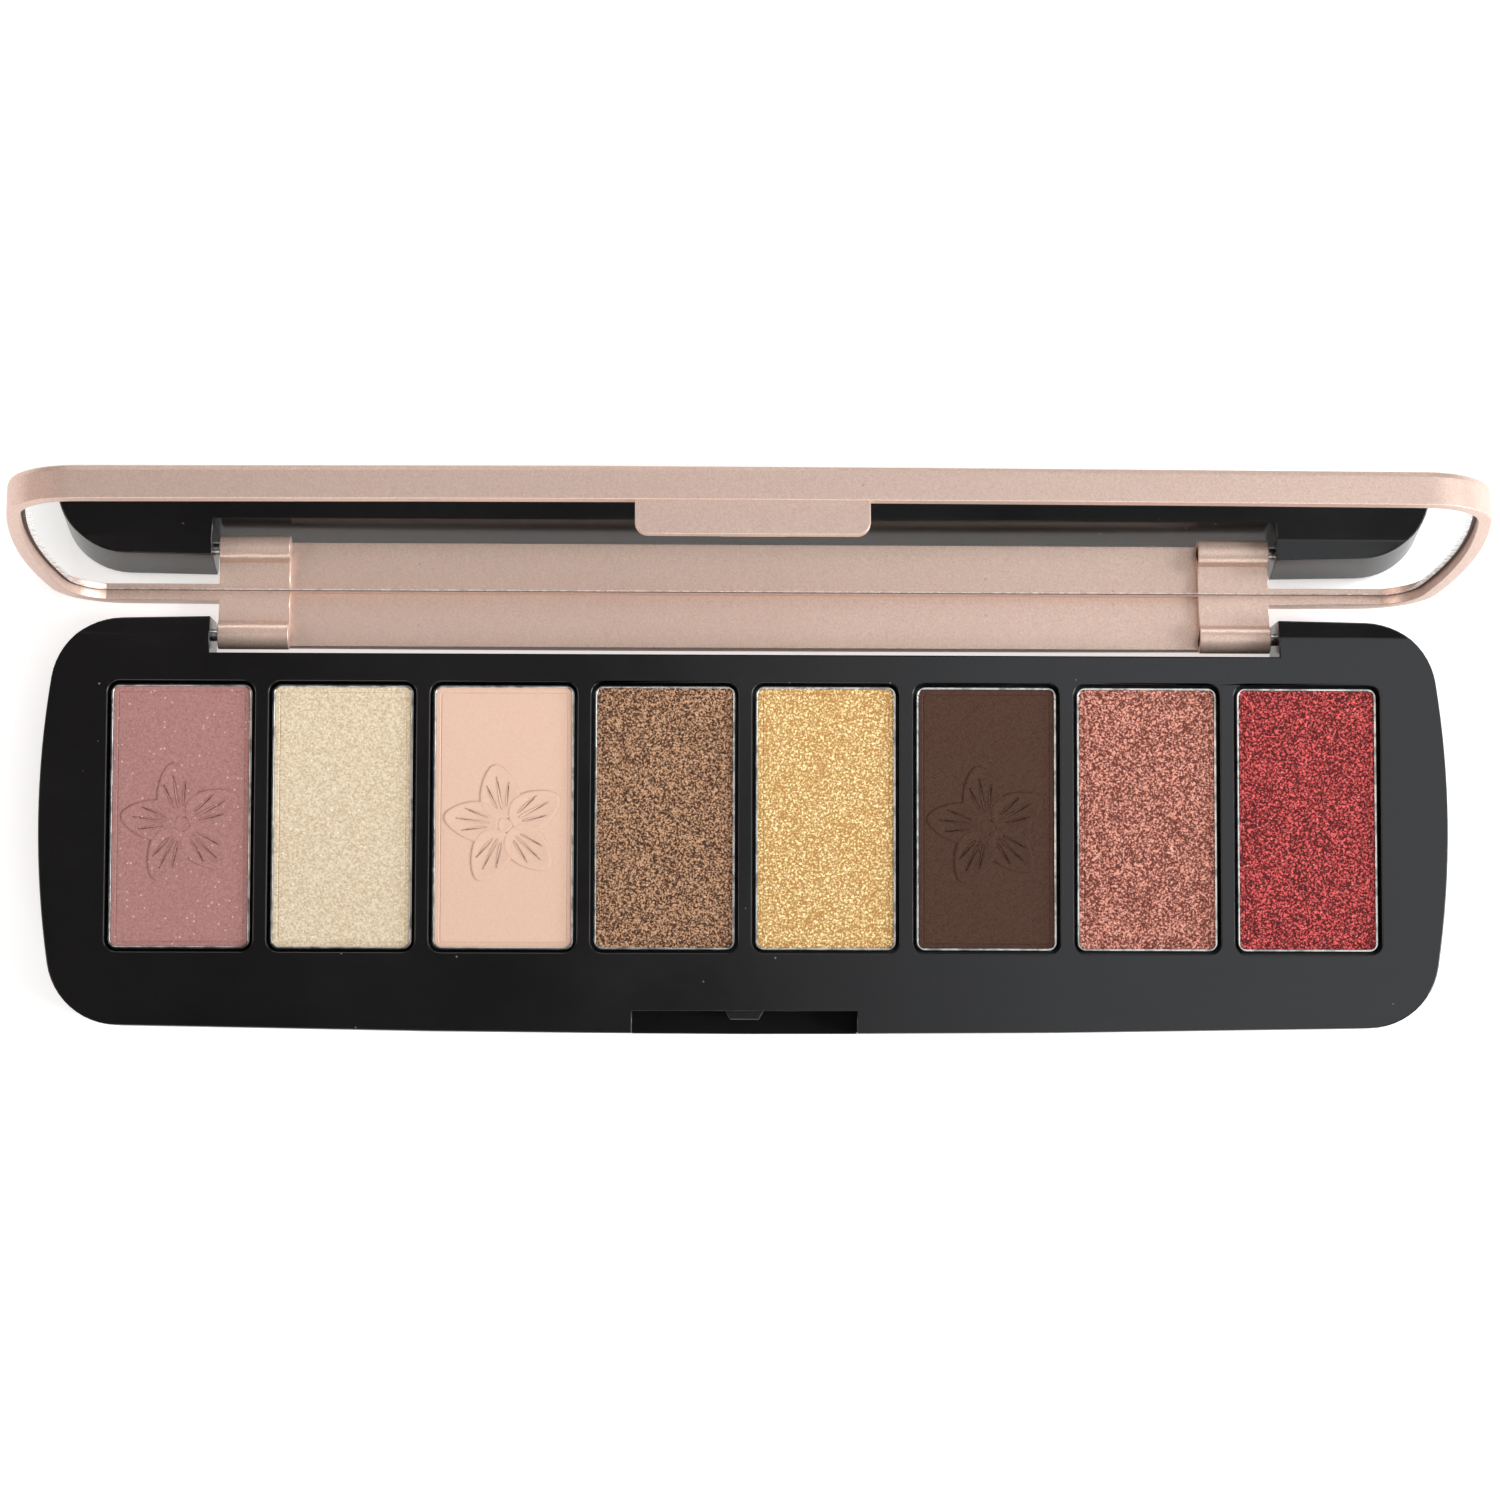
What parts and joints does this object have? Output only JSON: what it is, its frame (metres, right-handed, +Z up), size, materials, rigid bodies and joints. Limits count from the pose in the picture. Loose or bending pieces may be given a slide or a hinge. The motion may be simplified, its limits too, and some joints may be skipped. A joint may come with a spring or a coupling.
{
  "type": "eyeshadow palette",
  "caption": "Hinged palette: a black tray holding a row of pressed powder pans, under a lid with a full-width mirror and a snap tongue.",
  "frame": {"origin": "on the flat underside, at the centre of the closed outline", "axes": "+Z up, +Y from the front edge to the hinge, +X to the right as seen from the front"},
  "size_m": [0.14, 0.0515, 0.0427],
  "materials": {
    "black_plastic": "gloss",
    "label": "satin",
    "glue": "hot-melt glue",
    "pan_metal": "bright stamped sheet",
    "pin_steel": "drawn wire",
    "lid_paint": "satin metallic rose-gold lacquer",
    "mirror_glass": "polished",
    "adhesive": "foam tape",
    "powder_mauve": "satin pressed powder with fine sparkle",
    "powder_champagne": "shimmer pressed powder",
    "powder_peach": "matte pressed powder",
    "powder_taupe": "metallic pressed powder",
    "powder_gold": "foil-like pressed powder",
    "powder_brown": "matte pressed powder",
    "powder_copper": "metallic pressed powder with a woven press texture",
    "powder_red": "metallic pressed powder"
  },
  "bodies": {
    "base": {"base_tray": "black_plastic", "base_cover": "black_plastic", "bottom_label": "label", "pan_glue": "glue", "pan_1": "pan_metal", "pan_2": "pan_metal", "pan_3": "pan_metal", "pan_4": "pan_metal", "pan_5": "pan_metal", "pan_6": "pan_metal", "pan_7": "pan_metal", "pan_8": "pan_metal", "shade_1": "powder_mauve", "shade_2": "powder_champagne", "shade_3": "powder_peach", "shade_4": "powder_taupe", "shade_5": "powder_gold", "shade_6": "powder_brown", "shade_7": "powder_copper", "shade_8": "powder_red", "hinge_pin_left": "pin_steel", "hinge_pin_right": "pin_steel"},
    "lid": {"lid_shell": "lid_paint", "mirror": "mirror_glass", "mirror_adhesive": "adhesive"}
  },
  "joints": [
    {"name": "lid_hinge", "type": "hinge", "parent": "base", "child": "lid", "pos_m": [0, 0.01879, 0.0035], "axis": [-1, 0, 0], "range_deg": [-97.1, 3]}
  ]
}
